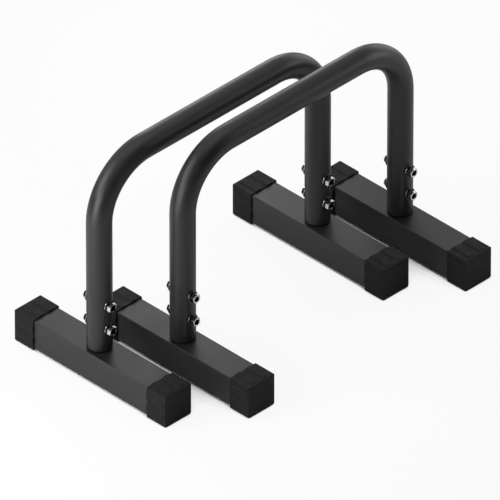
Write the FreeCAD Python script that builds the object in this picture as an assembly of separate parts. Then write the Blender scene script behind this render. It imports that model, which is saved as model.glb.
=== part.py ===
import FreeCAD, Part
import math
import os

# A pair of parallette bars, nested beside each other as they are stored.
# Each bar is one bent grip tube whose two posts sleeve over spigots on square feet.
# X runs along the grips, Y across the feet, Z up. The floor is Z = 0. All sizes are in millimetres.
# The origin is on the floor, midway between the two bars.

# Grip tube: two straight posts, two bends and a level grip, all one tube
GRIP_DIAMETER = 40.0
GRIP_WALL = 2.0
GRIP_STRAIGHT = 274.0
GRIP_BEND_RADIUS = 95.0
POST_STRAIGHT = 222.9
POST_END_GAP = 2.5
POST_END_ROUND = 0.3
POST_ROUND_LIMIT = 0.4

# Feet: square tube, laid across the bar, with the post a little off the middle
FOOT_WIDTH = 50.8
FOOT_WALL = 2.0
FOOT_LENGTH = 316.0
FOOT_CORNER_RADIUS = 1.2
FOOT_INNER_RADIUS = 0.5
POST_SHIFT = 6.2

# End caps: soft sleeves with two raised ribs along each of their four sides, a little wider at the mouth.
# The ribs stop short of the closed end, whose rim is plain.
CAP_CLEARANCE = 0.15
CAP_WALL = 2.0
CAP_END_THICKNESS = 3.0
CAP_OVERLAP = 37.0
CAP_MOUTH_GAP = 0.9
CAP_MOUTH_DEPTH = 2.5
CAP_CORNER_RADIUS = 1.2
CAP_EDGE_ROUND = 1.0
CAP_RIM_SHARE = 0.9
RIB_HEIGHT = 1.3
RIB_WIDTH = 12.0
RIB_FLANK = 1.2
RIB_SPACING = 22.4
RIB_END_MARGIN = 3.5

# Spigots: the stubs on the feet that the posts sleeve over, each with its weld bead
SPIGOT_CLEARANCE = 0.25
SPIGOT_WALL = 3.0
SPIGOT_TOP_MARGIN = 20.0
WELD_ROOM = 1.3

# Cross bolts: two through each post, with their heads on the +Y side and their nuts on the -Y side
BOLT_DIAMETER = 9.5
BOLT_RISE = 41.2
BOLT_PITCH = 42.5
BOLT_HOLE_CLEARANCE = 0.25
BOLT_TIP_RECESS = 4.5
BOLT_TIP_CHAMFER = 0.8
HEAD_SHOULDER = 2.4
HEAD_HEIGHT = 6.0
WASHER_CLEARANCE = 0.2
WASHER_RIM = 5.0
WASHER_THICKNESS = 1.65

# Hexagon nuts: the bolt's tip ends inside them, and they are turned against the bolt heads
THREAD_CLEARANCE = 0.03
NUT_SHOULDER = 2.4
NUT_HEIGHT = 8.3
NUT_COUNTERSINK = 0.5
NUT_TURN = 30.0
HEX_CHAMFER_ANGLE = 30.0

# How the two bars are nested
NEST_GAP_ACROSS = 31.4
NEST_GAP_ALONG = 47.5

# Places worked out from the sizes above
CAP_INNER_WIDTH = FOOT_WIDTH + 2 * CAP_CLEARANCE
CAP_OUTER_WIDTH = CAP_INNER_WIDTH + 2 * CAP_WALL
CAP_RIBBED_WIDTH = CAP_OUTER_WIDTH + 2 * RIB_HEIGHT
CAP_LENGTH = CAP_OVERLAP + CAP_END_THICKNESS
CAP_RIM_ROUND = CAP_RIM_SHARE * CAP_EDGE_ROUND
FOOT_AXIS_Z = CAP_RIBBED_WIDTH / 2
FOOT_TOP_Z = FOOT_AXIS_Z + FOOT_WIDTH / 2
POST_END_Z = FOOT_TOP_Z + POST_END_GAP
BEND_START_Z = POST_END_Z + POST_STRAIGHT
POST_SPACING = GRIP_STRAIGHT + 2 * GRIP_BEND_RADIUS
GRIP_RADIUS = GRIP_DIAMETER / 2
GRIP_BORE_RADIUS = GRIP_RADIUS - GRIP_WALL
SPIGOT_RADIUS = GRIP_BORE_RADIUS - SPIGOT_CLEARANCE
SPIGOT_HEIGHT = BOLT_RISE + BOLT_PITCH + SPIGOT_TOP_MARGIN
WELD_LEG = POST_END_GAP - WELD_ROOM
BOLT_RADIUS = BOLT_DIAMETER / 2
BOLT_HEIGHTS = (FOOT_TOP_Z + BOLT_RISE, FOOT_TOP_Z + BOLT_RISE + BOLT_PITCH)
BOLT_HOLE_RADIUS = BOLT_RADIUS + BOLT_HOLE_CLEARANCE
NUT_BORE_RADIUS = BOLT_RADIUS + THREAD_CLEARANCE
WASHER_FACE = GRIP_RADIUS + WASHER_THICKNESS
NEST_SHIFT_X = CAP_RIBBED_WIDTH + NEST_GAP_ALONG
NEST_SHIFT_Y = GRIP_DIAMETER + NEST_GAP_ACROSS

UP = FreeCAD.Vector(0, 0, 1)
ACROSS = FreeCAD.Vector(0, 1, 0)
HEX_SIDES = 6


def point(x, y, z):
    """A point in the part's frame."""
    return FreeCAD.Vector(x, y, z)


def arc_edge(start, middle, end):
    """A circular edge through three points."""
    return Part.Arc(start, middle, end).toShape()


def line_edge(start, end):
    """A straight edge."""
    return Part.LineSegment(start, end).toShape()


def rounded_outline(points, radii, y):
    """A closed wire in the plane Y = y through (x, z) points, each corner rounded by its own radius."""
    edges = []
    corners = []
    count = len(points)
    for index, (x, z) in enumerate(points):
        corner = point(x, y, z)
        before = point(points[index - 1][0], y, points[index - 1][1])
        after = point(points[(index + 1) % count][0], y, points[(index + 1) % count][1])
        radius = radii[index]
        to_before = (before - corner).normalize()
        to_after = (after - corner).normalize()
        half_angle = to_before.getAngle(to_after) / 2
        reach = radius / math.tan(half_angle)
        bisector = (to_before + to_after).normalize()
        middle = corner + bisector * (radius / math.sin(half_angle) - radius)
        corners.append((corner + to_before * reach, middle, corner + to_after * reach))
    for index, (start, middle, end) in enumerate(corners):
        edges.append(arc_edge(start, middle, end))
        edges.append(line_edge(end, corners[(index + 1) % count][0]))
    return Part.Wire(edges)


def square_corners(width):
    """The (x, z) corners of a square about the foot's axis."""
    half = width / 2
    low = FOOT_AXIS_Z - half
    high = FOOT_AXIS_Z + half
    return [(-half, low), (half, low), (half, high), (-half, high)]


def square_prism(width, radius, start_y, length):
    """A square bar with rounded corners about the foot's axis."""
    outline = rounded_outline(square_corners(width), [radius] * 4, start_y)
    return Part.Face(outline).extrude(ACROSS * length)


def grip_path():
    """The axis of the bent tube, from the lower end of one post to the other."""
    half_span = POST_SPACING / 2
    half_grip = GRIP_STRAIGHT / 2
    radius = GRIP_BEND_RADIUS
    grip_z = BEND_START_Z + radius
    slack = radius * (1 - math.sqrt(0.5))
    rear_bend = arc_edge(point(-half_span, 0, BEND_START_Z),
                         point(-half_span + slack, 0, grip_z - slack),
                         point(-half_grip, 0, grip_z))
    front_bend = arc_edge(point(half_grip, 0, grip_z),
                          point(half_span - slack, 0, grip_z - slack),
                          point(half_span, 0, BEND_START_Z))
    return Part.Wire([
        line_edge(point(-half_span, 0, POST_END_Z), point(-half_span, 0, BEND_START_Z)),
        rear_bend,
        line_edge(point(-half_grip, 0, grip_z), point(half_grip, 0, grip_z)),
        front_bend,
        line_edge(point(half_span, 0, BEND_START_Z), point(half_span, 0, POST_END_Z)),
    ])


def swept_rod(radius):
    """A solid rod of this radius along the grip's path."""
    circle = Part.makeCircle(radius, point(-POST_SPACING / 2, 0, POST_END_Z), UP)
    return grip_path().makePipeShell([Part.Wire(circle)], True, False)


def bolt_hole_cutters(x):
    """Rods across a post at its bolt heights, as wide as the bolt holes."""
    length = 2 * GRIP_DIAMETER
    return [Part.makeCylinder(BOLT_HOLE_RADIUS, length, point(x, -length / 2, z), ACROSS)
            for z in BOLT_HEIGHTS]


def handle_bar():
    """The bent tube with its bolt holes and rounded post ends."""
    tube = swept_rod(GRIP_RADIUS).cut(swept_rod(GRIP_BORE_RADIUS))
    end_edges = [edge for edge in tube.Edges if abs(edge.BoundBox.ZMax - POST_END_Z) < POST_END_ROUND]
    tube = tube.makeFillet(min(POST_END_ROUND, GRIP_WALL * POST_ROUND_LIMIT), end_edges)
    for x in (-POST_SPACING / 2, POST_SPACING / 2):
        for cutter in bolt_hole_cutters(x):
            tube = tube.cut(cutter)
    return tube


def foot_tube():
    """The square tube of one foot, with its post at X = 0, Y = 0."""
    start_y = -FOOT_LENGTH / 2 - POST_SHIFT
    outside = square_prism(FOOT_WIDTH, FOOT_CORNER_RADIUS, start_y, FOOT_LENGTH)
    inside = square_prism(FOOT_WIDTH - 2 * FOOT_WALL, FOOT_INNER_RADIUS, start_y, FOOT_LENGTH)
    return outside.cut(inside)


def ribbed_side():
    """One side of the cap's outline from one corner to the next: (along, out) pairs, corner first."""
    half = CAP_OUTER_WIDTH / 2
    outline = [(-half, 0.0)]
    for middle in (-RIB_SPACING / 2, RIB_SPACING / 2):
        outline.append((middle - RIB_WIDTH / 2, 0.0))
        outline.append((middle - RIB_WIDTH / 2 + RIB_FLANK, RIB_HEIGHT))
        outline.append((middle + RIB_WIDTH / 2 - RIB_FLANK, RIB_HEIGHT))
        outline.append((middle + RIB_WIDTH / 2, 0.0))
    return outline


def ribbed_outline(y):
    """The cap's outline with its ribs, in the plane Y = y."""
    points = []
    radii = []
    half = CAP_OUTER_WIDTH / 2
    for turn in range(4):
        angle = turn * math.pi / 2
        cosine = math.cos(angle)
        sine = math.sin(angle)
        for index, (along, out) in enumerate(ribbed_side()):
            x = along * cosine + (half + out) * sine
            z = along * sine - (half + out) * cosine
            points.append((x, FOOT_AXIS_Z + z))
            radii.append(CAP_CORNER_RADIUS if index == 0 else CAP_EDGE_ROUND)
    return rounded_outline(points, radii, y)


def end_cap(end):
    """The cap over one end of a foot: end is +1 for the +Y end and -1 for the -Y end."""
    tube_end_y = end * FOOT_LENGTH / 2 - POST_SHIFT
    mouth_y = tube_end_y - end * CAP_OVERLAP
    end_y = tube_end_y + end * CAP_END_THICKNESS
    block = square_prism(CAP_OUTER_WIDTH, CAP_CORNER_RADIUS, mouth_y, end * CAP_LENGTH)
    end_edges = [edge for edge in block.Edges if abs(edge.BoundBox.Center.y - end_y) < CAP_RIM_ROUND]
    block = block.makeFillet(CAP_RIM_ROUND, end_edges)
    ribs = Part.Face(ribbed_outline(mouth_y)).extrude(ACROSS * (end * (CAP_LENGTH - RIB_END_MARGIN)))
    outside = block.fuse(ribs).removeSplitter()
    cavity = square_prism(CAP_INNER_WIDTH, FOOT_CORNER_RADIUS + CAP_CLEARANCE, mouth_y, end * CAP_OVERLAP)
    mouth = square_prism(FOOT_WIDTH + 2 * CAP_MOUTH_GAP, FOOT_CORNER_RADIUS + CAP_MOUTH_GAP,
                         mouth_y, end * CAP_MOUTH_DEPTH)
    return outside.cut(cavity).cut(mouth)


def spigot():
    """The stub tube that stands on the foot inside the post."""
    outside = Part.makeCylinder(SPIGOT_RADIUS, SPIGOT_HEIGHT, point(0, 0, FOOT_TOP_Z))
    inside = Part.makeCylinder(SPIGOT_RADIUS - SPIGOT_WALL, SPIGOT_HEIGHT, point(0, 0, FOOT_TOP_Z))
    stub = outside.cut(inside)
    for cutter in bolt_hole_cutters(0):
        stub = stub.cut(cutter)
    return stub


def spigot_weld():
    """The bead round the root of the spigot, under the end of the post."""
    root = point(SPIGOT_RADIUS, 0, FOOT_TOP_Z)
    toe = point(SPIGOT_RADIUS + WELD_LEG, 0, FOOT_TOP_Z)
    top = point(SPIGOT_RADIUS, 0, FOOT_TOP_Z + WELD_LEG)
    section = Part.Face(Part.makePolygon([root, toe, top, root]))
    return section.revolve(point(0, 0, 0), UP, 360)


def hexagon_prism(flats, height):
    """A hexagon along Y from Y = 0, with two corners level along X and its far rim chamfered."""
    corner_radius = flats / 2 / math.cos(math.pi / HEX_SIDES)
    corners = []
    for side in range(HEX_SIDES + 1):
        angle = side * 2 * math.pi / HEX_SIDES
        corners.append(point(corner_radius * math.cos(angle), 0, corner_radius * math.sin(angle)))
    prism = Part.Face(Part.makePolygon(corners)).extrude(ACROSS * height)
    drop = (corner_radius - flats / 2) * math.tan(math.radians(HEX_CHAMFER_ANGLE))
    shank = Part.makeCylinder(corner_radius, height - drop, point(0, 0, 0), ACROSS)
    rim = Part.makeCone(corner_radius, flats / 2, drop, point(0, height - drop, 0), ACROSS)
    return prism.common(shank.fuse(rim))


def flat_ring(inner_radius, outer_radius, start_y, length):
    """A flat ring about the Y axis."""
    outside = Part.makeCylinder(outer_radius, length, point(0, start_y, 0), ACROSS)
    inside = Part.makeCylinder(inner_radius, length, point(0, start_y, 0), ACROSS)
    return outside.cut(inside)


def hex_bolt():
    """A bolt along Y: its head outside the +Y washer, its tip inside the nut on the -Y side."""
    tip_y = -(WASHER_FACE + NUT_HEIGHT - BOLT_TIP_RECESS)
    shank = Part.makeCylinder(BOLT_RADIUS, WASHER_FACE - tip_y, point(0, tip_y, 0), ACROSS)
    tip_edges = [edge for edge in shank.Edges
                 if edge.BoundBox.YLength < BOLT_TIP_CHAMFER and edge.BoundBox.YMax < 0]
    shank = shank.makeChamfer(BOLT_TIP_CHAMFER, tip_edges)
    head = hexagon_prism(BOLT_DIAMETER + 2 * HEAD_SHOULDER, HEAD_HEIGHT)
    head.translate(ACROSS * WASHER_FACE)
    return shank.fuse(head)


def flat_washer(side):
    """A washer against the post: side is +1 under the bolt head and -1 under the nut."""
    inner = BOLT_RADIUS + WASHER_CLEARANCE
    start_y = GRIP_RADIUS if side > 0 else -WASHER_FACE
    return flat_ring(inner, inner + WASHER_RIM, start_y, WASHER_THICKNESS)


def hex_nut():
    """A nut with a plain bore for the bolt, countersunk at its outer face."""
    hexagon = hexagon_prism(BOLT_DIAMETER + 2 * NUT_SHOULDER, NUT_HEIGHT)
    hexagon.rotate(point(0, 0, 0), ACROSS, NUT_TURN)
    bore = Part.makeCylinder(NUT_BORE_RADIUS, NUT_HEIGHT, point(0, 0, 0), ACROSS)
    countersink = Part.makeCone(NUT_BORE_RADIUS, NUT_BORE_RADIUS + NUT_COUNTERSINK, NUT_COUNTERSINK,
                                point(0, NUT_HEIGHT - NUT_COUNTERSINK, 0), ACROSS)
    return seated_on_nut_washer(hexagon.cut(bore).cut(countersink))


def seated_on_nut_washer(shape):
    """Turn a shape modelled along +Y to face -Y, and seat it on the washer there."""
    turned = shape.copy()
    turned.rotate(point(0, 0, 0), UP, 180)
    turned.translate(ACROSS * -WASHER_FACE)
    return turned


def at_both_bolts(fastener):
    """The same fastener at both bolt heights of a post, as a group of separate solids."""
    group = []
    for z in BOLT_HEIGHTS:
        item = fastener.copy()
        item.translate(UP * z)
        group.append(item)
    return Part.makeCompound(group)


def post_pieces():
    """Every piece about one post, by its plain name, with the post at X = 0, Y = 0."""
    return {
        "foot_tube": foot_tube(),
        "spigot": spigot(),
        "spigot_weld": spigot_weld(),
        "bolts": at_both_bolts(hex_bolt()),
        "head_washers": at_both_bolts(flat_washer(1)),
        "nut_washers": at_both_bolts(flat_washer(-1)),
        "nuts": at_both_bolts(hex_nut()),
    }


def write_piece(name, shape, x, y):
    """Write one piece, moved to its place."""
    placed = shape.copy()
    placed.translate(point(x, y, 0))
    placed.exportStep(os.path.join("parts", name + ".step"))


def write_bar(bar, side):
    """Write all pieces of one bar: side is +1 for the left bar at +Y and -1 for the right bar."""
    bar_x = -side * NEST_SHIFT_X / 2
    post_y = side * NEST_SHIFT_Y / 2 + POST_SHIFT
    write_piece(bar + "_handle_bar", handle_bar(), bar_x, post_y)
    caps = {"outer_cap": end_cap(side), "inner_cap": end_cap(-side)}
    for end, direction in (("rear", -1), ("front", 1)):
        post_x = bar_x + direction * POST_SPACING / 2
        for name, shape in {**post_pieces(), **caps}.items():
            write_piece(f"{bar}_{end}_{name}", shape, post_x, post_y)


os.makedirs("parts", exist_ok=True)
write_bar("left", 1)
write_bar("right", -1)
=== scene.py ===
import logging
from contextlib import contextmanager
from dataclasses import dataclass, field
from enum import Enum
from math import atan2, cos, pi, radians, sin, tan
from typing import Any, Callable, ClassVar, Iterator, Sequence

import bmesh
import bpy
from mathutils import Matrix, Vector


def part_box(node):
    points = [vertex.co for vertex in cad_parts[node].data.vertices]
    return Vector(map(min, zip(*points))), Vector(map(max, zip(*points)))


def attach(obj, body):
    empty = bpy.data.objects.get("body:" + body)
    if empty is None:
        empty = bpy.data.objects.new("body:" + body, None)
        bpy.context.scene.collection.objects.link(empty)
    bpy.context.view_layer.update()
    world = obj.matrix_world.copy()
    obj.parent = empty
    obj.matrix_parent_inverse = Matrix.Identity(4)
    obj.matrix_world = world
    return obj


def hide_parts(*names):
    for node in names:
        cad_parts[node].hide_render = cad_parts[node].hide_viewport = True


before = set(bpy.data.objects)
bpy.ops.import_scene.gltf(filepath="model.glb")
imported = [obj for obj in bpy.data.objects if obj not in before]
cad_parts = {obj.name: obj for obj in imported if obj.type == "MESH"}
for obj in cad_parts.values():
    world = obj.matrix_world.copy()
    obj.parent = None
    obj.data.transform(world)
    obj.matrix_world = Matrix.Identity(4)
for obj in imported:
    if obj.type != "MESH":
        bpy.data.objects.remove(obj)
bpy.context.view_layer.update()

log = logging.getLogger("parallettes")

MILLIMETRE = 0.001
QUARTER_TURN = radians(90)
HALF_TURN = radians(180)
MATRIX_SIZE = 4
HEX_SIDES = 6
HEX_HALF_ANGLE = radians(30)
# Points closer together than this are one point.
SEAM = 0.01 * MILLIMETRE
# A wall grows inwards from its surface.
INWARD = -1.0
# Least share of a face's normal along the way that it faces.
FACING = 0.9
# The dark and the light end of a cloudy pattern.
PATTERN_DARK = 0.3
PATTERN_LIGHT = 0.7

Colour = tuple[float, float, float]
Point = tuple[float, float, float]
Profile = Sequence[tuple[float, float]]
Material = bpy.types.Material
Piece = bpy.types.Object
Socket = bpy.types.NodeSocket
Level = float | Socket


class Bar(Enum):
    """One of the two bars of the pair."""

    LEFT = "left"
    RIGHT = "right"

    @property
    def body(self) -> str:
        """Name of the body that carries this bar."""
        return f"{self.value}_bar"


class Post(Enum):
    """One of the two posts of a bar."""

    REAR = "rear"
    FRONT = "front"


class FootEnd(Enum):
    """One of the two ends of a foot, of which the outer one points away from the other bar."""

    OUTER = "outer"
    INNER = "inner"

    def faces_back(self, bar: Bar) -> bool:
        """True where this end is the +Y end of the foot."""
        return (self is FootEnd.OUTER) == (bar is Bar.LEFT)


class Pick(Enum):
    """What a selection in edit mode is made of."""

    POINTS = "VERT"
    EDGES = "EDGE"
    FACES = "FACE"


class ColourMix(Enum):
    """Sockets of a mix node that mixes colours, by their number."""

    SHARE = 0
    UNDER = 6
    OVER = 7
    RESULT = 2


class Slot(Enum):
    """The record's material slots."""

    COATING = "satin_black_coating"
    RUBBER = "black_rubber"
    ZINC = "zinc_plated_steel"
    WASHER = "dark_washer_steel"


@dataclass(frozen=True)
class Extent:
    """The box that a CAD node fills at rest."""

    low: Vector
    high: Vector

    @classmethod
    def of(cls, node: str) -> "Extent":
        """Read the box of a CAD node."""
        return cls(*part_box(node))

    @property
    def size(self) -> Vector:
        """Length of the box along each axis."""
        return self.high - self.low

    @property
    def middle(self) -> Vector:
        """Centre of the box."""
        return (self.high + self.low) / 2


def node_name(bar: Bar, post: Post, part: str) -> str:
    """Name of the CAD node of one part at one post."""
    return f"{bar.value}_{post.value}_{part}"


def rotation(angle: float, axis: str) -> Matrix:
    """Make the matrix of a turn about the X, Y or Z axis."""
    return Matrix.Rotation(angle, MATRIX_SIZE, axis)


def deselect() -> None:
    """Deselect every object."""
    bpy.ops.object.select_all(action="DESELECT")


def activate(piece: Piece) -> None:
    """Select one piece alone and make it the active one."""
    deselect()
    piece.select_set(True)
    bpy.context.view_layer.objects.active = piece


def named(name: str) -> Piece:
    """Name the primitive that was just added.

    Args:
        name: Name for the object and its mesh.

    Returns:
        The object, with its turn and place moved into its mesh.
    """
    piece = bpy.context.active_object
    piece.name = name
    piece.data.name = name
    activate(piece)
    bpy.ops.object.transform_apply(location=True, rotation=True, scale=True)
    return piece


@contextmanager
def editing(piece: Piece) -> Iterator[None]:
    """Open a piece in edit mode with all of it selected, and close it again.

    Args:
        piece: The mesh object to shape.
    """
    activate(piece)
    bpy.ops.object.mode_set(mode="EDIT")
    bpy.ops.mesh.select_mode(type=Pick.POINTS.value)
    bpy.ops.mesh.select_all(action="SELECT")
    yield
    bpy.ops.object.mode_set(mode="OBJECT")


def select_by(piece: Piece, kind: Pick, test: Callable[[Any], bool]) -> None:
    """Select the points, edges or faces of a piece in edit mode that pass a test.

    Args:
        piece: The mesh object in edit mode.
        kind: Whether points, edges or faces are tested.
        test: Tells whether an element is to be selected.
    """
    bpy.ops.mesh.select_mode(type=kind.value)
    bpy.ops.mesh.select_all(action="DESELECT")
    shape = bmesh.from_edit_mesh(piece.data)
    elements = {Pick.POINTS: shape.verts, Pick.EDGES: shape.edges, Pick.FACES: shape.faces}[kind]
    for element in elements:
        if test(element):
            element.select_set(True)
    shape.select_flush_mode()
    bmesh.update_edit_mesh(piece.data)


def runs_along_y(edge: bmesh.types.BMEdge, least: float) -> bool:
    """True for an edge that goes further than a length along Y."""
    first, last = edge.verts
    return abs(first.co.y - last.co.y) > least


def modify(piece: Piece, kind: str, **settings: Any) -> None:
    """Give a piece a modifier and apply it.

    Args:
        piece: The mesh object to change.
        kind: Blender's type of the modifier.
        settings: Values for the modifier's properties.
    """
    activate(piece)
    modifier = piece.modifiers.new(kind, kind)
    for setting, value in settings.items():
        setattr(modifier, setting, value)
    bpy.ops.object.modifier_apply(modifier=modifier.name)


def combine(piece: Piece, other: Piece, operation: str) -> None:
    """Cut, add or intersect a piece with another, which is used up.

    Args:
        piece: The mesh object that is kept.
        other: The mesh object that shapes it.
        operation: DIFFERENCE, UNION or INTERSECT.
    """
    modify(piece, "BOOLEAN", operation=operation, solver="MANIFOLD", object=other)
    bpy.data.objects.remove(other)


def soften(piece: Piece, width: float, segments: int, sharper_than: float) -> None:
    """Round every edge of a piece that is sharper than an angle."""
    modify(piece, "BEVEL", width=width, segments=segments, limit_method="ANGLE", angle_limit=sharper_than)


def mark_points(piece: Piece, name: str, marked: Callable[[Vector], bool]) -> None:
    """Leave a mark on some points of a piece for its finish to read.

    Args:
        piece: The mesh object.
        name: Name of the mark.
        marked: True for the place of a point that gets the mark.
    """
    marks = piece.data.attributes.new(name, "FLOAT", "POINT")
    for point in piece.data.vertices:
        marks.data[point.index].value = float(marked(point.co))


def smooth(piece: Piece, sharper_than: float) -> None:
    """Shade a piece smoothly, with its flats kept flat and its sharp edges kept sharp.

    Args:
        piece: The mesh object to shade.
        sharper_than: Edges above this angle stay sharp.
    """
    activate(piece)
    bpy.ops.object.shade_smooth_by_angle(angle=sharper_than)
    modify(piece, "WEIGHTED_NORMAL", keep_sharp=True)


def turned(name: str, profile: Profile, sides: int, bored: bool) -> Piece:
    """Turn a profile about the Z axis, ring by ring, as on a lathe.

    Args:
        name: Name for the new object.
        profile: Radius and height of each ring, from the first to the last.
        sides: Number of points round each ring.
        bored: True where the last ring joins the first, False where both ends are closed flat.

    Returns:
        The closed shape.
    """
    (radius, height), *rest = profile
    deselect()
    bpy.ops.mesh.primitive_circle_add(vertices=sides, radius=radius, location=(0, 0, height))
    piece = named(name)
    with editing(piece):
        for next_radius, next_height in rest:
            rise = (0, 0, next_height - height)
            growth = next_radius / radius
            bpy.ops.mesh.extrude_region_move(TRANSFORM_OT_translate={"value": rise})
            bpy.ops.transform.resize(value=(growth, growth, 1), center_override=(0, 0, next_height))
            radius, height = next_radius, next_height
        if bored:
            bpy.ops.mesh.select_all(action="DESELECT")
            bpy.ops.mesh.select_non_manifold()
            bpy.ops.mesh.bridge_edge_loops()
        bpy.ops.mesh.select_all(action="SELECT")
        bpy.ops.mesh.fill_holes(sides=0)
        bpy.ops.mesh.normals_make_consistent(inside=False)
    return piece


def hexagon(name: str, across_corners: float, bottom: float, top: float) -> Piece:
    """Make a six-sided prism about the Z axis with two corners on the X axis.

    Args:
        name: Name for the new object.
        across_corners: Distance between opposite corners.
        bottom: Height of the lower face.
        top: Height of the upper face.

    Returns:
        The closed prism.
    """
    deselect()
    bpy.ops.mesh.primitive_cylinder_add(
        vertices=HEX_SIDES,
        radius=across_corners / 2,
        depth=top - bottom,
        location=(0, 0, (bottom + top) / 2),
        rotation=(0, 0, HEX_HALF_ANGLE),
    )
    return named(name)


def copy_at(master: Piece, name: str, place: Matrix) -> Piece:
    """Copy a modelled piece to a place, with a mesh of its own.

    Args:
        master: The piece that was modelled.
        name: Name for the copy.
        place: Where the master's own axes go.

    Returns:
        The copy, with its place in its mesh.
    """
    mesh = master.data.copy()
    mesh.name = name
    mesh.transform(place)
    piece = bpy.data.objects.new(name, mesh)
    bpy.context.scene.collection.objects.link(piece)
    return piece


def copies_at(master: Piece, name: str, places: Sequence[Matrix]) -> Piece:
    """Copy a modelled piece to several places as one group of separate shells.

    Args:
        master: The piece that was modelled.
        name: Name for the group.
        places: Where the master's own axes go, one for each copy.

    Returns:
        One object that holds all the copies.
    """
    copies = [copy_at(master, f"{name}_{number}", place) for number, place in enumerate(places)]
    activate(copies[0])
    for piece in copies:
        piece.select_set(True)
    bpy.ops.object.join()
    copies[0].name = name
    copies[0].data.name = name
    return copies[0]


def wear(piece: Piece, finish: Material) -> None:
    """Give a piece one finish all over."""
    piece.data.materials.clear()
    piece.data.materials.append(finish)


@dataclass
class SubAssembly:
    """Pieces that are built together and wear one finish."""

    pieces: list[Piece] = field(default_factory=list, init=False)

    def fit(self, piece: Piece, bar: Bar, slot: Slot, node: str) -> None:
        """Let a finished piece ride on its bar in place of a CAD node.

        Args:
            piece: The finished piece.
            bar: The bar that carries it.
            slot: The record's material slot for its finish; not used.
            node: The CAD node that it stands for.
        """
        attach(piece, bar.body)
        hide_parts(node)
        self.pieces.append(piece)
        log.info("%s rides on %s and stands for %s", piece.name, bar.body, node)

    def dress(self, finish: Material) -> None:
        """Give every piece its finish."""
        for piece in self.pieces:
            wear(piece, finish)


class Recipe:
    """The nodes of one finish, read from the object's own coordinates."""

    def __init__(self, name: str) -> None:
        """Start an empty finish.

        Args:
            name: Name for the material.
        """
        self.material = bpy.data.materials.new(name)
        self.material.use_nodes = True
        self.tree = self.material.node_tree
        self.shader = self.tree.nodes["Principled BSDF"]
        self.place = self.tree.nodes.new("ShaderNodeTexCoord").outputs["Object"]

    def set(self, socket: str, value: Any) -> None:
        """Set a value that is the same all over the surface."""
        self.shader.inputs[socket].default_value = value

    def feed(self, socket: str, source: Socket) -> None:
        """Join a pattern to one of the shader's sockets."""
        self.tree.links.new(source, self.shader.inputs[socket])

    def noise(self, grain: float, detail: float, stretch: Point = (1, 1, 1)) -> Socket:
        """Make a cloudy pattern.

        Args:
            grain: Size of its clouds in metres.
            detail: How many finer layers it has.
            stretch: How much closer the clouds lie along each axis.

        Returns:
            The pattern, from 0 to 1.
        """
        mapping = self.tree.nodes.new("ShaderNodeMapping")
        mapping.inputs["Scale"].default_value = stretch
        self.tree.links.new(self.place, mapping.inputs["Vector"])
        clouds = self.tree.nodes.new("ShaderNodeTexNoise")
        clouds.inputs["Scale"].default_value = 1 / grain
        clouds.inputs["Detail"].default_value = detail
        self.tree.links.new(mapping.outputs["Vector"], clouds.inputs["Vector"])
        return clouds.outputs["Fac"]

    def spread(self, pattern: Socket, low: float, high: float) -> Socket:
        """Bring the middle of a pattern to a range of values.

        Args:
            pattern: A pattern from 0 to 1.
            low: Value where the pattern is dark.
            high: Value where the pattern is light.

        Returns:
            The values.
        """
        change = self.tree.nodes.new("ShaderNodeMapRange")
        change.inputs["From Min"].default_value = PATTERN_DARK
        change.inputs["From Max"].default_value = PATTERN_LIGHT
        change.inputs["To Min"].default_value = low
        change.inputs["To Max"].default_value = high
        self.tree.links.new(pattern, change.inputs["Value"])
        return change.outputs["Result"]

    def tint(self, pattern: Socket, dark: Colour, light: Colour) -> Socket:
        """Colour a pattern.

        Args:
            pattern: A pattern from 0 to 1.
            dark: Colour where the pattern is dark.
            light: Colour where the pattern is light.

        Returns:
            The colours.
        """
        ramp = self.tree.nodes.new("ShaderNodeValToRGB")
        ends = ((PATTERN_DARK, dark), (PATTERN_LIGHT, light))
        for stop, (position, colour) in zip(ramp.color_ramp.elements, ends):
            stop.position = position
            stop.color = (*colour, 1)
        self.tree.links.new(pattern, ramp.inputs["Fac"])
        return ramp.outputs["Color"]

    def mark(self, name: str) -> Socket:
        """Read a mark that was left on the points of a piece, from 0 to 1."""
        attribute = self.tree.nodes.new("ShaderNodeAttribute")
        attribute.attribute_name = name
        return attribute.outputs["Fac"]

    def laid_over(self, under: Socket, over: Colour, share: Socket) -> Socket:
        """Lay one colour over others.

        Args:
            under: The colours below.
            over: The colour that is laid over them.
            share: Where it lies, from 0 to 1.

        Returns:
            The colours together.
        """
        blend = self.tree.nodes.new("ShaderNodeMix")
        blend.data_type = "RGBA"
        blend.inputs[ColourMix.OVER.value].default_value = (*over, 1)
        self.tree.links.new(share, blend.inputs[ColourMix.SHARE.value])
        self.tree.links.new(under, blend.inputs[ColourMix.UNDER.value])
        return blend.outputs[ColourMix.RESULT.value]

    def relief(self, pattern: Socket, depth: float, strength: float, under: Socket | None = None) -> Socket:
        """Raise a pattern from the surface.

        Args:
            pattern: A pattern from 0 to 1.
            depth: Height of the relief in metres.
            strength: How much of it shows.
            under: A coarser relief that this one lies on.

        Returns:
            The normals of the relief.
        """
        bump = self.tree.nodes.new("ShaderNodeBump")
        bump.inputs["Distance"].default_value = depth
        bump.inputs["Strength"].default_value = strength
        self.tree.links.new(pattern, bump.inputs["Height"])
        if under is not None:
            self.tree.links.new(under, bump.inputs["Normal"])
        return bump.outputs["Normal"]


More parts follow.
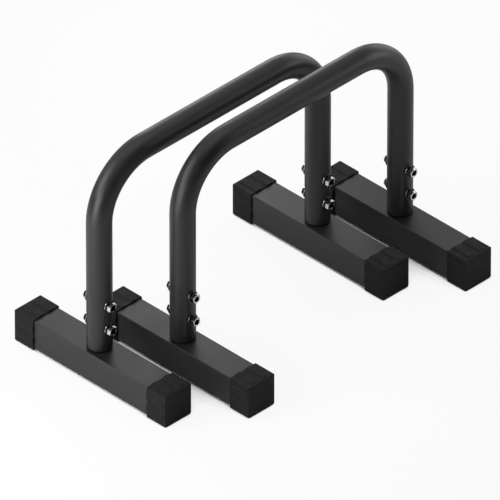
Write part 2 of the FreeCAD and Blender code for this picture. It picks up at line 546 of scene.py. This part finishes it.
@dataclass(frozen=True)
class PowderCoat:
    """Satin black powder coating, with a faint orange peel and uneven sheen."""

    dark: Colour = (0.013, 0.013, 0.013)
    light: Colour = (0.018, 0.018, 0.018)
    sheen_low: float = 0.36
    sheen_high: float = 0.46
    reflection: float = 0.45
    cloud_grain: float = 0.05
    cloud_detail: float = 3
    peel_grain: float = 0.0016
    peel_detail: float = 1
    peel_depth: float = 0.00003
    peel_strength: float = 0.5
    speck_grain: float = 0.0005
    speck_detail: float = 2
    speck_depth: float = 0.00001
    speck_strength: float = 0.4

    def material(self) -> Material:
        """Make the coating's material."""
        recipe = Recipe("satin_black_powder_coat")
        clouds = recipe.noise(self.cloud_grain, self.cloud_detail)
        recipe.feed("Base Color", recipe.tint(clouds, self.dark, self.light))
        recipe.feed("Roughness", recipe.spread(clouds, self.sheen_low, self.sheen_high))
        recipe.set("Specular IOR Level", self.reflection)
        waves = recipe.noise(self.peel_grain, self.peel_detail)
        peel = recipe.relief(waves, self.peel_depth, self.peel_strength)
        specks = recipe.noise(self.speck_grain, self.speck_detail)
        recipe.feed("Normal", recipe.relief(specks, self.speck_depth, self.speck_strength, peel))
        return recipe.material


@dataclass(frozen=True)
class GapShadeCoat:
    """The black coating made far darker and duller, as painted shade in the gap under the post, with a
    faint cloudy tone.
    """

    dark: Colour = (0.003, 0.003, 0.003)
    light: Colour = (0.005, 0.005, 0.005)
    sheen: float = 0.85
    reflection: float = 0.06
    cloud_grain: float = 0.01
    cloud_detail: float = 3

    def material(self) -> Material:
        """Make the coating's material."""
        recipe = Recipe("painted_shade_gap_coat")
        clouds = recipe.noise(self.cloud_grain, self.cloud_detail)
        recipe.feed("Base Color", recipe.tint(clouds, self.dark, self.light))
        recipe.set("Roughness", self.sheen)
        recipe.set("Specular IOR Level", self.reflection)
        return recipe.material


@dataclass(frozen=True)
class MouldedRubber:
    """Dull black rubber, grained by its mould, with paler dusty patches."""

    dark: Colour = (0.0055, 0.0055, 0.0055)
    light: Colour = (0.009, 0.009, 0.009)
    sheen_low: float = 0.62
    sheen_high: float = 0.78
    reflection: float = 0.24
    dust_grain: float = 0.012
    dust_detail: float = 4
    grain: float = 0.0007
    grain_detail: float = 2
    grain_depth: float = 0.00006
    grain_strength: float = 0.5

    def material(self) -> Material:
        """Make the rubber's material."""
        recipe = Recipe("moulded_black_rubber")
        dust = recipe.noise(self.dust_grain, self.dust_detail)
        recipe.feed("Base Color", recipe.tint(dust, self.dark, self.light))
        recipe.feed("Roughness", recipe.spread(dust, self.sheen_low, self.sheen_high))
        recipe.set("Specular IOR Level", self.reflection)
        grains = recipe.noise(self.grain, self.grain_detail)
        recipe.feed("Normal", recipe.relief(grains, self.grain_depth, self.grain_strength))
        return recipe.material


@dataclass(frozen=True)
class MetalFinish:
    """A metal surface, a little cloudy and scratched, in another colour where its points carry a mark."""

    name: ClassVar[str]
    point_mark: ClassVar[str]
    marked: Colour
    dark: Colour
    light: Colour
    sheen_low: float
    sheen_high: float
    scratch_depth: float
    scratch_stretch: Point = (1, 1, 1)
    scratch_grain: float = 0.0008
    scratch_detail: float = 2
    scratch_strength: float = 0.4
    cloud_grain: float = 0.004
    cloud_detail: float = 4
    metal: float = 1.0

    def material(self) -> Material:
        """Make the metal's material."""
        recipe = Recipe(self.name)
        clouds = recipe.noise(self.cloud_grain, self.cloud_detail)
        recipe.set("Metallic", self.metal)
        plain = recipe.tint(clouds, self.dark, self.light)
        recipe.feed("Base Color", recipe.laid_over(plain, self.marked, recipe.mark(self.point_mark)))
        recipe.feed("Roughness", recipe.spread(clouds, self.sheen_low, self.sheen_high))
        scratches = recipe.noise(self.scratch_grain, self.scratch_detail, self.scratch_stretch)
        recipe.feed("Normal", recipe.relief(scratches, self.scratch_depth, self.scratch_strength))
        return recipe.material


@dataclass(frozen=True)
class ZincPlate(MetalFinish):
    """Bright zinc plating on steel, with drawn marks, painted dark on the bolt's thread and tip and in the
    nut's bore: grease, and painted shade in the bore.
    """

    name: ClassVar[str] = "bright_zinc_plate"
    point_mark: ClassVar[str] = "thread_grease_and_shade"
    # Dark colour on the marked points: grease, and painted shade in the bore.
    marked: Colour = (0.12, 0.12, 0.12)
    dark: Colour = (0.66, 0.66, 0.67)
    light: Colour = (0.78, 0.78, 0.78)
    sheen_low: float = 0.08
    sheen_high: float = 0.14
    scratch_depth: float = 0.000003
    scratch_stretch: Point = (1, 6, 6)


@dataclass(frozen=True)
class BlackenedSteel(MetalFinish):
    """Blackened steel whose rim is painted bright: wear, and a painted highlight."""

    name: ClassVar[str] = "blackened_steel"
    point_mark: ClassVar[str] = "worn_and_highlit_rim"
    # Bright colour on the rim: wear, and a painted highlight.
    marked: Colour = (0.42, 0.42, 0.43)
    dark: Colour = (0.045, 0.045, 0.045)
    light: Colour = (0.07, 0.07, 0.07)
    sheen_low: float = 0.16
    sheen_high: float = 0.26
    scratch_depth: float = 0.000004


@dataclass
class HandleBar(SubAssembly):
    """The round tube of one bar: a post, a bend, the grip, a bend and a post."""

    bar: Bar
    wall: float = 2 * MILLIMETRE
    bend_radius: float = 95 * MILLIMETRE
    rim_round: float = 0.3 * MILLIMETRE
    rim_segments: int = 3
    rim_angle: float = radians(60)
    smooth_angle: float = radians(40)
    sides: int = 72
    bend_rings: int = 24
    straight_ring: float = 12 * MILLIMETRE

    def build(self) -> None:
        """Extrude and spin a ring along the tube's line, then give it a wall."""
        node = f"{self.bar.value}_handle_bar"
        extent = Extent.of(node)
        radius = extent.size.y / 2
        rear = extent.low.x + radius
        front = extent.high.x - radius
        post_length = extent.high.z - radius - self.bend_radius - extent.low.z
        grip_length = front - rear - 2 * self.bend_radius
        bend_height = extent.low.z + post_length
        deselect()
        bpy.ops.mesh.primitive_circle_add(
            vertices=self.sides, radius=radius, location=(rear, extent.middle.y, extent.low.z)
        )
        tube = named(f"{self.bar.value}_grip_tube")
        with editing(tube):
            self.run(Vector((0, 0, post_length)))
            self.turn(Vector((rear + self.bend_radius, extent.middle.y, bend_height)))
            self.run(Vector((grip_length, 0, 0)))
            self.turn(Vector((front - self.bend_radius, extent.middle.y, bend_height)))
            self.run(Vector((0, 0, -post_length)))
            bpy.ops.mesh.select_all(action="SELECT")
            bpy.ops.mesh.remove_doubles(threshold=SEAM)
            bpy.ops.mesh.normals_make_consistent(inside=False)
        modify(tube, "SOLIDIFY", thickness=self.wall, offset=INWARD)
        soften(tube, self.rim_round, self.rim_segments, self.rim_angle)
        smooth(tube, self.smooth_angle)
        self.fit(tube, self.bar, Slot.COATING, node)

    def run(self, way: Vector) -> None:
        """Extrude the selected ring along a straight stretch.

        Args:
            way: The stretch from its start to its end.
        """
        rings = round(way.length / self.straight_ring)
        for _ in range(rings):
            bpy.ops.mesh.extrude_region_move(TRANSFORM_OT_translate={"value": way / rings})

    def turn(self, centre: Vector) -> None:
        """Spin the selected ring through a quarter turn.

        Args:
            centre: Centre of the bend.
        """
        bpy.ops.mesh.spin(steps=self.bend_rings, angle=QUARTER_TURN, center=centre, axis=(0, -1, 0))


@dataclass
class Foot(SubAssembly):
    """The square tube of one foot."""

    bar: Bar
    post: Post
    wall: float = 2 * MILLIMETRE
    corner_radius: float = 1.2 * MILLIMETRE
    corner_segments: int = 5
    smooth_angle: float = radians(40)

    def build(self) -> None:
        """Round a block's long edges, open its ends and give it a wall."""
        node = node_name(self.bar, self.post, "foot_tube")
        extent = Extent.of(node)
        deselect()
        bpy.ops.mesh.primitive_cube_add(size=1, location=extent.middle, scale=extent.size)
        tube = named(node_name(self.bar, self.post, "square_foot"))
        with editing(tube):
            select_by(tube, Pick.EDGES, lambda edge: edge.calc_length() > extent.size.y / 2)
            bpy.ops.mesh.bevel(offset=self.corner_radius, segments=self.corner_segments, affect="EDGES")
            select_by(tube, Pick.FACES, lambda face: abs(face.normal.y) > FACING)
            bpy.ops.mesh.delete(type="FACE")
        modify(tube, "SOLIDIFY", thickness=self.wall, offset=INWARD)
        smooth(tube, self.smooth_angle)
        self.fit(tube, self.bar, Slot.COATING, node)


@dataclass
class SpigotWeld(SubAssembly):
    """The weld bead that holds one spigot on its foot, in the gap under the post."""

    bar: Bar
    post: Post
    sides: int = 96
    bulge_angles: tuple[float, ...] = (0, 25, 45, 65, 90)
    ripple: float = 0.15 * MILLIMETRE
    ripple_from: float = 0.25
    smooth_angle: float = radians(50)

    def build(self) -> None:
        """Turn a bulging bead about the spigot and ripple it."""
        node = node_name(self.bar, self.post, "spigot_weld")
        extent = Extent.of(node)
        leg = extent.size.z
        outer = extent.size.x / 2
        inner = outer - leg
        bulge = [
            (inner + leg * sin(radians(angle)), leg * cos(radians(angle)))
            for angle in self.bulge_angles
        ]
        name = node_name(self.bar, self.post, "weld_bead")
        bead = turned(name, [*bulge, (inner, 0)], self.sides, True)
        step = 2 * pi / self.sides
        margin = leg * self.ripple_from

        def on_ripple(point: bmesh.types.BMVert) -> bool:
            """True for the points of every other row of the bead's open face."""
            row = round(atan2(point.co.y, point.co.x) / step)
            return row % 2 == 0 and point.co.xy.length > inner + margin and point.co.z > margin

        with editing(bead):
            select_by(bead, Pick.POINTS, on_ripple)
            bpy.ops.transform.shrink_fatten(value=-self.ripple)
        bead.data.transform(Matrix.Translation((extent.middle.x, extent.middle.y, extent.low.z)))
        smooth(bead, self.smooth_angle)
        self.fit(bead, self.bar, Slot.COATING, node)

    def dress(self, finish: Material) -> None:
        """Coat the bead and the spigot."""
        super().dress(finish)
        wear(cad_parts[node_name(self.bar, self.post, "spigot")], finish)


@dataclass
class EndCaps(SubAssembly):
    """The ribbed rubber caps that sleeve over the ends of the feet."""

    clearance: float = 0.15 * MILLIMETRE
    overlap: float = 37 * MILLIMETRE
    mouth_gap: float = 0.9 * MILLIMETRE
    mouth_depth: float = 2.5 * MILLIMETRE
    corner_radius: float = 1.2 * MILLIMETRE
    corner_segments: int = 4
    rib_height: float = 1.3 * MILLIMETRE
    rib_width: float = 12 * MILLIMETRE
    rib_flank: float = 1.2 * MILLIMETRE
    rib_spacing: float = 22.4 * MILLIMETRE
    rib_end_margin: float = 3.5 * MILLIMETRE
    rib_run_out: float = 1.5 * MILLIMETRE
    edge_round: float = 0.7 * MILLIMETRE
    edge_segments: int = 3
    edge_angle: float = radians(30)
    flat_angle: float = radians(1)
    smooth_angle: float = radians(40)

    def build(self) -> None:
        """Model one cap and put a copy on each end of each foot."""
        pattern = self.build_pattern()
        for bar in Bar:
            for post in Post:
                for end in FootEnd:
                    name = node_name(bar, post, f"{end.value}_end_cap")
                    piece = copy_at(pattern, name, self.place(bar, post, end))
                    self.fit(piece, bar, Slot.RUBBER, node_name(bar, post, f"{end.value}_cap"))
        bpy.data.objects.remove(pattern)

    def build_pattern(self) -> Piece:
        """Raise ribs on a block, round its edges and hollow it out.

        Returns:
            The cap about the Y axis, with its mouth at zero and its closed end towards +Y.
        """
        extent = Extent.of(node_name(Bar.LEFT, Post.REAR, "outer_cap"))
        length = extent.size.y
        width = extent.size.x - 2 * self.rib_height
        deselect()
        bpy.ops.mesh.primitive_cube_add(size=1, location=(0, length / 2, 0), scale=(width, length, width))
        cap = named("end_cap_pattern")
        ways = (Vector((1, 0, 0)), Vector((0, 0, 1)))
        with editing(cap):
            select_by(cap, Pick.EDGES, lambda edge: runs_along_y(edge, length / 2))
            bpy.ops.mesh.bevel(offset=self.corner_radius, segments=self.corner_segments, affect="EDGES")
            for across in ways:
                self.score(across)
            rib_end = length - self.rib_end_margin
            for line in (rib_end - self.rib_run_out, rib_end):
                bpy.ops.mesh.select_all(action="SELECT")
                bpy.ops.mesh.bisect(plane_co=(0, line, 0), plane_no=(0, 1, 0))
            for across in ways:
                for outward in (across, -across):
                    self.raise_ribs(cap, outward, rib_end - self.rib_run_out)
            bpy.ops.mesh.select_all(action="SELECT")
            bpy.ops.mesh.dissolve_limited(angle_limit=self.flat_angle)
            bpy.ops.mesh.normals_make_consistent(inside=False)
        soften(cap, self.edge_round, self.edge_segments, self.edge_angle)
        combine(cap, self.plug("foot_plug", self.clearance, self.overlap), "DIFFERENCE")
        combine(cap, self.plug("mouth_plug", self.mouth_gap, self.mouth_depth), "DIFFERENCE")
        smooth(cap, self.smooth_angle)
        return cap

    def score(self, across: Vector) -> None:
        """Cut the block along the foot and the top edges of each rib.

        Args:
            across: The way that the ribs are spaced.
        """
        for rib in (-self.rib_spacing / 2, self.rib_spacing / 2):
            for half in (self.rib_width / 2, self.rib_width / 2 - self.rib_flank):
                for line in (rib - half, rib + half):
                    bpy.ops.mesh.select_all(action="SELECT")
                    bpy.ops.mesh.bisect(plane_co=across * line, plane_no=across)

    def raise_ribs(self, cap: Piece, outward: Vector, full_to: float) -> None:
        """Push the rib tops of one side outwards.

        Args:
            cap: The scored block in edit mode.
            outward: The way that the side faces.
            full_to: Distance from the mouth at which the ribs start to run out.
        """
        across = Vector((abs(outward.z), 0, abs(outward.x)))

        def on_rib_top(face: bmesh.types.BMFace) -> bool:
            """True for the strips between the top edges of a rib, up to where it runs out."""
            middle = face.calc_center_median()
            from_rib = abs(abs(middle.dot(across)) - self.rib_spacing / 2)
            return face.normal.dot(outward) > FACING and from_rib < self.rib_flank and middle.y < full_to

        select_by(cap, Pick.FACES, on_rib_top)
        bpy.ops.transform.translate(value=outward * self.rib_height)

    def plug(self, name: str, gap: float, depth: float) -> Piece:
        """Make a block that hollows the cap from its mouth.

        Args:
            name: Name for the block.
            gap: Room that it leaves round the foot.
            depth: How deep it goes.

        Returns:
            The block, as deep outside the mouth as inside.
        """
        width = Extent.of(node_name(Bar.LEFT, Post.REAR, "foot_tube")).size.x + 2 * gap
        deselect()
        bpy.ops.mesh.primitive_cube_add(size=1, scale=(width, 2 * depth, width))
        block = named(name)
        corner = self.corner_radius + gap
        with editing(block):
            select_by(block, Pick.EDGES, lambda edge: runs_along_y(edge, depth))
            bpy.ops.mesh.bevel(offset=corner, segments=self.corner_segments, affect="EDGES")
        return block

    def place(self, bar: Bar, post: Post, end: FootEnd) -> Matrix:
        """Find where a cap goes.

        Args:
            bar: The bar that the cap is on.
            post: The post above the cap's foot.
            end: The end of the foot.

        Returns:
            The place of the modelled cap's axes.
        """
        extent = Extent.of(node_name(bar, post, f"{end.value}_cap"))
        if end.faces_back(bar):
            return Matrix.Translation((extent.middle.x, extent.low.y, extent.middle.z))
        mouth = Matrix.Translation((extent.middle.x, extent.high.y, extent.middle.z))
        return mouth @ rotation(HALF_TURN, "Z")


@dataclass
class Fasteners(SubAssembly):
    """Fasteners of one kind at every post, modelled about Z, which points along the bolt to the nut."""

    sides: int = 48
    post_middle: Vector = field(init=False)
    nuts: Extent = field(init=False)
    washer_bottom: float = field(init=False)
    washer_top: float = field(init=False)
    washer_diameter: float = field(init=False)

    def __post_init__(self) -> None:
        """Read the washers' and nuts' places along the bolt from the frame."""
        washers = Extent.of(node_name(Bar.LEFT, Post.REAR, "nut_washers"))
        self.post_middle = Extent.of(node_name(Bar.LEFT, Post.REAR, "spigot")).middle
        self.nuts = Extent.of(node_name(Bar.LEFT, Post.REAR, "nuts"))
        self.washer_bottom = self.post_middle.y - washers.high.y
        self.washer_top = self.post_middle.y - self.nuts.high.y
        self.washer_diameter = washers.size.x

    def spread(self, pattern: Piece, name: str, part: str, slot: Slot, nut_side: bool) -> None:
        """Put two copies of a fastener on every post, and let go of the pattern.

        Args:
            pattern: The fastener that was modelled.
            name: Plain name of the new pieces.
            part: Plain name of the CAD nodes that they stand for.
            slot: The record's material slot for their finish.
            nut_side: True for what faces the nuts, False for what faces the heads.
        """
        for bar in Bar:
            for post in Post:
                group = copies_at(pattern, node_name(bar, post, name), self.places(bar, post, nut_side))
                self.fit(group, bar, slot, node_name(bar, post, part))
        bpy.data.objects.remove(pattern)

    def places(self, bar: Bar, post: Post, nut_side: bool) -> list[Matrix]:
        """Find where the two bolts of a post go.

        Args:
            bar: The bar that the post is on.
            post: The post.
            nut_side: True for what faces the nuts, False for what faces the heads.

        Returns:
            The place of the modelled axes for the lower and the upper bolt.
        """
        spigot = Extent.of(node_name(bar, post, "spigot")).middle
        washers = Extent.of(node_name(bar, post, "nut_washers"))
        turn = rotation(QUARTER_TURN if nut_side else -QUARTER_TURN, "X")
        rim = self.washer_diameter / 2
        return [
            Matrix.Translation((spigot.x, spigot.y, height)) @ turn
            for height in (washers.low.z + rim, washers.high.z - rim)
        ]


@dataclass
class Washers(Fasteners):
    """The flat washers under the bolt heads and under the nuts."""

    bore: float = 9.9 * MILLIMETRE
    edge_round: float = 0.3 * MILLIMETRE
    edge_segments: int = 3
    edge_angle: float = radians(60)
    smooth_angle: float = radians(40)
    rim_margin: float = 0.03 * MILLIMETRE

    def build(self) -> None:
        """Model one washer for each side and put copies on every post."""
        self.spread(self.build_washer(), "washers_under_heads", "head_washers", Slot.WASHER, False)
        self.spread(self.build_washer(), "washers_under_nuts", "nut_washers", Slot.WASHER, True)

    def build_washer(self) -> Piece:
        """Turn a flat washer, seated on its post, and mark its rim, which the finish paints bright as wear
        and as a painted highlight.

        Returns:
            The finished washer.
        """
        bore = self.bore / 2
        rim = self.washer_diameter / 2
        low, high = self.washer_bottom, self.washer_top
        profile = [(bore, low), (rim, low), (rim, high), (bore, high)]
        washer = turned("washer_pattern", profile, self.sides, True)
        soften(washer, self.edge_round, self.edge_segments, self.edge_angle)
        smooth(washer, self.smooth_angle)
        edge = rim - self.rim_margin
        # The rim mark gets a painted highlight as well as wear.
        mark_points(washer, BlackenedSteel.point_mark, lambda place: place.xy.length > edge)
        return washer


@dataclass
class CrossBolts(Fasteners):
    """The bolts through the posts and their nuts."""

    shank_diameter: float = 9.5 * MILLIMETRE
    thread_pitch: float = 1.6 * MILLIMETRE
    thread_depth: float = 0.8 * MILLIMETRE
    thread_turns: int = 9
    tip_chamfer: float = 0.8 * MILLIMETRE
    nut_bore: float = 9.56 * MILLIMETRE
    nut_turn: float = HEX_HALF_ANGLE
    countersink: float = 0.3 * MILLIMETRE
    chamfer_slope: float = tan(radians(30))
    face_share: float = 0.95
    corner_room: float = 1.02
    edge_round: float = 0.15 * MILLIMETRE
    edge_segments: int = 2
    edge_angle: float = radians(25)
    smooth_angle: float = radians(35)
    tip: float = field(init=False)
    head_top: float = field(init=False)
    nut_top: float = field(init=False)
    across_flats: float = field(init=False)
    across_corners: float = field(init=False)

    def __post_init__(self) -> None:
        """Read the rest of the bolt's and the nut's sizes from the frame."""
        super().__post_init__()
        bolts = Extent.of(node_name(Bar.LEFT, Post.REAR, "bolts"))
        self.tip = self.post_middle.y - bolts.low.y
        self.head_top = bolts.high.y - self.post_middle.y
        self.nut_top = self.post_middle.y - self.nuts.low.y
        self.across_flats = self.nuts.size.x
        self.across_corners = self.across_flats / cos(HEX_HALF_ANGLE)

    def build(self) -> None:
        """Model one bolt and one nut, and put copies on every post."""
        self.spread(self.build_bolt(), "hex_bolts", "bolts", Slot.ZINC, True)
        self.spread(self.build_nut(), "hex_nuts", "nuts", Slot.ZINC, True)

    def hex_envelope(self, bottom: float, top: float, both: bool) -> Piece:
        """Turn the shape that chamfers a hexagon's corners.

        Args:
            bottom: Height of the hexagon's lower face.
            top: Height of its upper face.
            both: True where the lower corners are chamfered too.

        Returns:
            The closed turned shape.
        """
        face = self.face_share * self.across_flats / 2
        reach = self.across_corners / 2 * self.corner_room
        drop = (reach - face) * self.chamfer_slope
        start = [(face, bottom), (reach, bottom + drop)] if both else [(reach, bottom)]
        return turned("hex_envelope", [*start, (reach, top - drop), (face, top)], self.sides, False)

    def build_bolt(self) -> Piece:
        """Turn the threaded shank and add the chamfered head.

        Returns:
            The finished bolt.
        """
        radius = self.shank_diameter / 2
        root = radius - self.thread_depth
        thread_end = self.tip - self.tip_chamfer
        thread_start = thread_end - self.thread_turns * self.thread_pitch
        thread = []
        for turn in range(self.thread_turns):
            height = thread_start + turn * self.thread_pitch
            thread += [(radius, height), (root, height + self.thread_pitch / 2)]
        tip = [(radius, thread_end), (radius - self.tip_chamfer, self.tip)]
        inside_head = -(self.washer_top + self.head_top) / 2
        shank = turned("bolt_pattern", [(radius, inside_head), *thread, *tip], self.sides, False)
        head = hexagon("bolt_head", self.across_corners, self.washer_top, self.head_top)
        combine(head, self.hex_envelope(self.washer_top, self.head_top, False), "INTERSECT")
        soften(head, self.edge_round, self.edge_segments, self.edge_angle)
        head.data.transform(rotation(HALF_TURN, "X"))
        combine(shank, head, "UNION")
        # Mark the thread and tip, which the finish paints dark: grease, and painted shade in the nut's
        # bore.
        mark_points(shank, ZincPlate.point_mark, lambda place: place.z > thread_start)
        smooth(shank, self.smooth_angle)
        return shank

    def build_nut(self) -> Piece:
        """Chamfer a hexagon and bore it, with a countersink at its open end.

        Returns:
            The finished nut.
        """
        nut = hexagon("nut_pattern", self.across_corners, self.washer_top, self.nut_top)
        combine(nut, self.hex_envelope(self.washer_top, self.nut_top, True), "INTERSECT")
        soften(nut, self.edge_round, self.edge_segments, self.edge_angle)
        bore = self.nut_bore / 2
        sunk = self.nut_top - self.countersink
        past = self.nut_top + self.countersink
        profile = [(bore, 0.0), (bore, sunk), (bore + past - sunk, past)]
        combine(nut, turned("nut_bore", profile, self.sides, False), "DIFFERENCE")
        # Mark the bore, which the finish paints dark: painted shade, and grease.
        inside = bore + self.countersink / 2
        mark_points(nut, ZincPlate.point_mark, lambda place: place.xy.length < inside)
        nut.data.transform(rotation(self.nut_turn, "Z"))
        smooth(nut, self.smooth_angle)
        return nut


@dataclass(frozen=True)
class Lamp:
    """One square soft lamp of the studio."""

    name: str
    place: Point
    width: float
    power: float

    def hang(self, aim: Vector) -> None:
        """Hang the lamp so that it faces a point.

        Args:
            aim: The point that it faces.
        """
        light = bpy.data.lights.new(self.name, "AREA")
        light.size = self.width
        light.energy = self.power
        lamp = bpy.data.objects.new(self.name, light)
        bpy.context.scene.collection.objects.link(lamp)
        lamp.location = self.place
        lamp.rotation_euler = (aim - lamp.location).to_track_quat("-Z", "Y").to_euler()
        lamp.visible_camera = False


@dataclass
class Studio:
    """Pale floor, white surroundings, soft lamps and the camera."""

    lamps: tuple[Lamp, ...] = (
        Lamp("low_side_lamp", place=(-1.15, 0.0, 0.35), width=0.6, power=5.7),
        Lamp("high_side_lamp", place=(-1.0, 0.5, 0.9), width=0.8, power=8.3),
        Lamp("overhead_lamp", place=(0.0, 0.0, 1.8), width=1.5, power=6.0),
        Lamp("back_lamp", place=(0.5, 0.7, 0.5), width=0.5, power=1.5),
        Lamp("right_lamp", place=(1.3, 0.3, 0.5), width=0.8, power=2.1),
        Lamp("front_lamp", place=(1.2, -0.8, 0.6), width=0.8, power=4.3),
    )
    lamp_aim: Point = (0, 0, 0.1)
    floor_width: float = 12.0
    floor_colour: Colour = (0.9, 0.9, 0.9)
    floor_sheen: float = 1.0
    floor_reflection: float = 0.0
    floor_white: float = 0.9
    floor_mirrored: float = 0.05
    floor_glow: float = 0.0
    crevice_width: float = 0.08
    crevice_dark: float = 0.38
    crevice_open: float = 0.5
    world_colour: Colour = (1, 1, 1)
    world_white: float = 1.0
    ambient: float = 0.16
    bright_side: Point = (0.8, 0.6, 0.0)
    bright_from: float = -0.25
    bright_to: float = 0.5
    bright_level: float = 0.6
    view_width: float = 0.75527
    view_right: float = -0.00514
    view_up: float = 0.08872
    lens: float = 1500.0
    sensor: float = 36.0
    view_turn: float = radians(-44.993)
    view_drop: float = radians(54.626)
    view_depth: float = 3.0

    def build(self) -> None:
        """Set up the floor, the world, the lamps and the camera."""
        bpy.context.scene.view_settings.view_transform = "Standard"
        self.lay_floor()
        self.surround()
        for lamp in self.lamps:
            lamp.hang(Vector(self.lamp_aim))
        self.aim_camera()

    @staticmethod
    def seen(tree: bpy.types.NodeTree, straight: Level, mirrored: Level, as_light: Level) -> Socket:
        """Choose a value by how the surroundings are seen.

        Args:
            tree: The node tree of the floor or the world.
            straight: Value for what the camera sees straight on.
            mirrored: Value for what glossy and clear surfaces show.
            as_light: Value for the light that falls on the object.

        Returns:
            The chosen value.
        """
        path = tree.nodes.new("ShaderNodeLightPath")
        chosen = as_light
        rays = {"Is Transmission Ray": mirrored, "Is Glossy Ray": mirrored, "Is Camera Ray": straight}
        for kind, value in rays.items():
            choice = tree.nodes.new("ShaderNodeMix")
            tree.links.new(path.outputs[kind], choice.inputs["Factor"])
            for socket, option in (("A", chosen), ("B", value)):
                if isinstance(option, Socket):
                    tree.links.new(option, choice.inputs[socket])
                else:
                    choice.inputs[socket].default_value = option
            chosen = choice.outputs["Result"]
        return chosen

    def lay_floor(self) -> None:
        """Lay a pale floor that looks nearly white, with a soft shadow that is deep only in the nooks."""
        deselect()
        bpy.ops.mesh.primitive_plane_add(size=self.floor_width)
        floor = named("studio_floor")
        material = bpy.data.materials.new("pale_floor")
        material.use_nodes = True
        tree = material.node_tree
        matt = tree.nodes["Principled BSDF"]
        matt.inputs["Base Color"].default_value = (*self.floor_colour, 1)
        matt.inputs["Roughness"].default_value = self.floor_sheen
        matt.inputs["Specular IOR Level"].default_value = self.floor_reflection
        nook = tree.nodes.new("ShaderNodeAmbientOcclusion")
        nook.inputs["Distance"].default_value = self.crevice_width
        open_floor = tree.nodes.new("ShaderNodeMapRange")
        open_floor.interpolation_type = "SMOOTHSTEP"
        open_floor.inputs["From Min"].default_value = self.crevice_dark
        open_floor.inputs["From Max"].default_value = self.crevice_open
        open_floor.inputs["To Max"].default_value = self.floor_white
        tree.links.new(nook.outputs["AO"], open_floor.inputs["Value"])
        glow = tree.nodes.new("ShaderNodeEmission")
        mix = tree.nodes.new("ShaderNodeMixShader")
        share = self.seen(tree, open_floor.outputs["Result"], self.floor_mirrored, self.floor_glow)
        for source, socket in zip((share, matt.outputs["BSDF"], glow.outputs["Emission"]), mix.inputs):
            tree.links.new(source, socket)
        tree.links.new(mix.outputs["Shader"], tree.nodes["Material Output"].inputs["Surface"])
        wear(floor, material)

    def surround(self) -> None:
        """Make the world white to look at, bright on one side in reflections, and soft grey as a light."""
        world = bpy.data.worlds.new("studio_world")
        bpy.context.scene.world = world
        world.use_nodes = True
        tree = world.node_tree
        way = tree.nodes.new("ShaderNodeTexCoord").outputs["Generated"]
        towards = tree.nodes.new("ShaderNodeVectorMath")
        towards.operation = "DOT_PRODUCT"
        looked_at, bright, *_ = towards.inputs
        bright.default_value = self.bright_side
        tree.links.new(way, looked_at)
        fade = tree.nodes.new("ShaderNodeMapRange")
        fade.interpolation_type = "SMOOTHSTEP"
        fade.inputs["From Min"].default_value = self.bright_from
        fade.inputs["From Max"].default_value = self.bright_to
        fade.inputs["To Max"].default_value = self.bright_level
        tree.links.new(towards.outputs["Value"], fade.inputs["Value"])
        background = tree.nodes["Background"]
        background.inputs["Color"].default_value = (*self.world_colour, 1)
        strength = self.seen(tree, self.world_white, fade.outputs["Result"], self.ambient)
        tree.links.new(strength, background.inputs["Strength"])

    def aim_camera(self) -> None:
        """Set the camera far off on the diagonal, where the object looks isometric."""
        scene = bpy.context.scene
        camera = bpy.data.cameras.new("photo_camera")
        camera.sensor_width = self.sensor
        camera.lens = self.lens
        holder = bpy.data.objects.new("photo_camera", camera)
        scene.collection.objects.link(holder)
        turn = rotation(self.view_turn, "Z") @ rotation(self.view_drop, "X")
        distance = self.view_width * self.lens / self.sensor
        holder.matrix_world = turn @ Matrix.Translation((self.view_right, self.view_up, distance))
        camera.clip_end = self.view_depth * distance
        scene.camera = holder


def main() -> None:
    """Build both bars, their caps and fasteners and the studio."""
    logging.basicConfig(level=logging.INFO, format="%(message)s")
    coat = PowderCoat().material()
    gap_shade_coat = GapShadeCoat().material()
    for bar in Bar:
        for steelwork in (HandleBar(bar), *(Foot(bar, post) for post in Post)):
            steelwork.build()
            steelwork.dress(coat)
        for weld in (SpigotWeld(bar, post) for post in Post):
            weld.build()
            # The weld bead and the spigot wear the near-black coating, which is painted shade for the gap
            # under the post.
            weld.dress(gap_shade_coat)
    for fittings, finish in (
        (EndCaps(), MouldedRubber()),
        (CrossBolts(), ZincPlate()),
        (Washers(), BlackenedSteel()),
    ):
        fittings.build()
        fittings.dress(finish.material())
    Studio().build()


if __name__ == "__main__":
    main()
